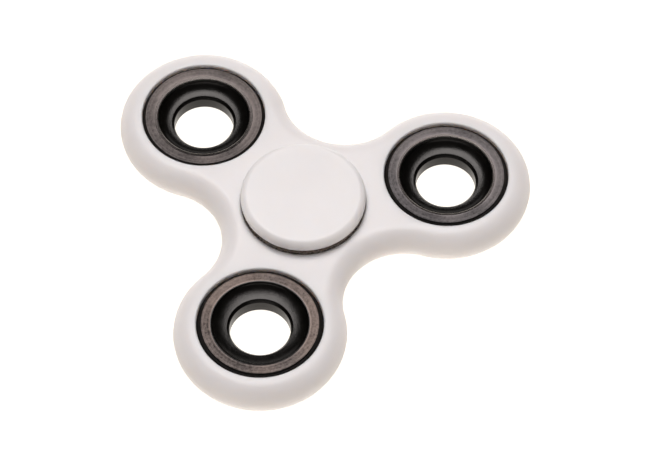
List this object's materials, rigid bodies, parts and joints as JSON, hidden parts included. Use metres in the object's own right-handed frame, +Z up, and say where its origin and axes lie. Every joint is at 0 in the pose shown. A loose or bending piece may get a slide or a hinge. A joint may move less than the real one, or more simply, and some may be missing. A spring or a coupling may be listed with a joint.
{
  "type": "fidget spinner",
  "caption": "Lobed hand spinner: a plastic frame with dished steel ring weights turns on a ball bearing held between flat finger caps.",
  "frame": {"origin": "centre of the lower finger cap's resting face, on the spin axis", "axes": "+Z up the spin axis towards the upper cap, +Y through the lobe of weight_ring_a, +X along the longest side"},
  "size_m": [0.075, 0.069, 0.0128],
  "materials": {
    "frame_plastic": "satin moulded",
    "cap_plastic": "satin moulded",
    "weight_steel": "black oxide, end faces ground",
    "bearing_steel": "ground",
    "ball_steel": "polished",
    "pressed_steel": "pressed sheet"
  },
  "bodies": {
    "hub": {"finger_cap_lower": "cap_plastic", "finger_cap_upper": "cap_plastic", "bearing_inner_race": "bearing_steel"},
    "spinner": {"spinner_body": "frame_plastic", "weight_ring_a": "weight_steel", "weight_ring_b": "weight_steel", "weight_ring_c": "weight_steel", "bearing_outer_race": "bearing_steel", "shield_upper": "pressed_steel", "shield_lower": "pressed_steel", "snap_ring_upper": "pressed_steel", "snap_ring_lower": "pressed_steel"},
    "cage": {"cage_half_upper": "pressed_steel", "cage_half_lower": "pressed_steel", "cage_rivet_1": "pressed_steel", "cage_rivet_2": "pressed_steel", "cage_rivet_3": "pressed_steel", "cage_rivet_4": "pressed_steel", "cage_rivet_5": "pressed_steel", "cage_rivet_6": "pressed_steel", "cage_rivet_7": "pressed_steel"},
    "ball_1": {"bearing_ball_1": "ball_steel"},
    "ball_2": {"bearing_ball_2": "ball_steel"},
    "ball_3": {"bearing_ball_3": "ball_steel"},
    "ball_4": {"bearing_ball_4": "ball_steel"},
    "ball_5": {"bearing_ball_5": "ball_steel"},
    "ball_6": {"bearing_ball_6": "ball_steel"},
    "ball_7": {"bearing_ball_7": "ball_steel"}
  },
  "joints": [
    {"name": "spin", "type": "hinge", "parent": "hub", "child": "spinner", "pos_m": [0, 0, 0.0064], "axis": [0, 0, 1], "continuous": true},
    {"name": "cage_orbit", "type": "hinge", "parent": "hub", "child": "cage", "pos_m": [0, 0, 0.0064], "axis": [0, 0, 1], "continuous": true},
    {"name": "ball_1_roll", "type": "hinge", "parent": "cage", "child": "ball_1", "pos_m": [0.0075, 0, 0.0064], "axis": [0, 0, 1], "continuous": true},
    {"name": "ball_2_roll", "type": "hinge", "parent": "cage", "child": "ball_2", "pos_m": [0.00468, 0.00586, 0.0064], "axis": [0, 0, 1], "continuous": true},
    {"name": "ball_3_roll", "type": "hinge", "parent": "cage", "child": "ball_3", "pos_m": [-0.00167, 0.00731, 0.0064], "axis": [0, 0, 1], "continuous": true},
    {"name": "ball_4_roll", "type": "hinge", "parent": "cage", "child": "ball_4", "pos_m": [-0.00676, 0.00325, 0.0064], "axis": [0, 0, 1], "continuous": true},
    {"name": "ball_5_roll", "type": "hinge", "parent": "cage", "child": "ball_5", "pos_m": [-0.00676, -0.00325, 0.0064], "axis": [0, 0, 1], "continuous": true},
    {"name": "ball_6_roll", "type": "hinge", "parent": "cage", "child": "ball_6", "pos_m": [-0.00167, -0.00731, 0.0064], "axis": [0, 0, 1], "continuous": true},
    {"name": "ball_7_roll", "type": "hinge", "parent": "cage", "child": "ball_7", "pos_m": [0.00468, -0.00586, 0.0064], "axis": [0, 0, 1], "continuous": true}
  ],
  "couplings": [
    {"joint": "cage_orbit", "follows": "spin", "ratio": 0.6323},
    {"joint": "ball_1_roll", "follows": "spin", "ratio": 1.7573},
    {"joint": "ball_2_roll", "follows": "spin", "ratio": 1.7573},
    {"joint": "ball_3_roll", "follows": "spin", "ratio": 1.7573},
    {"joint": "ball_4_roll", "follows": "spin", "ratio": 1.7573},
    {"joint": "ball_5_roll", "follows": "spin", "ratio": 1.7573},
    {"joint": "ball_6_roll", "follows": "spin", "ratio": 1.7573},
    {"joint": "ball_7_roll", "follows": "spin", "ratio": 1.7573}
  ]
}
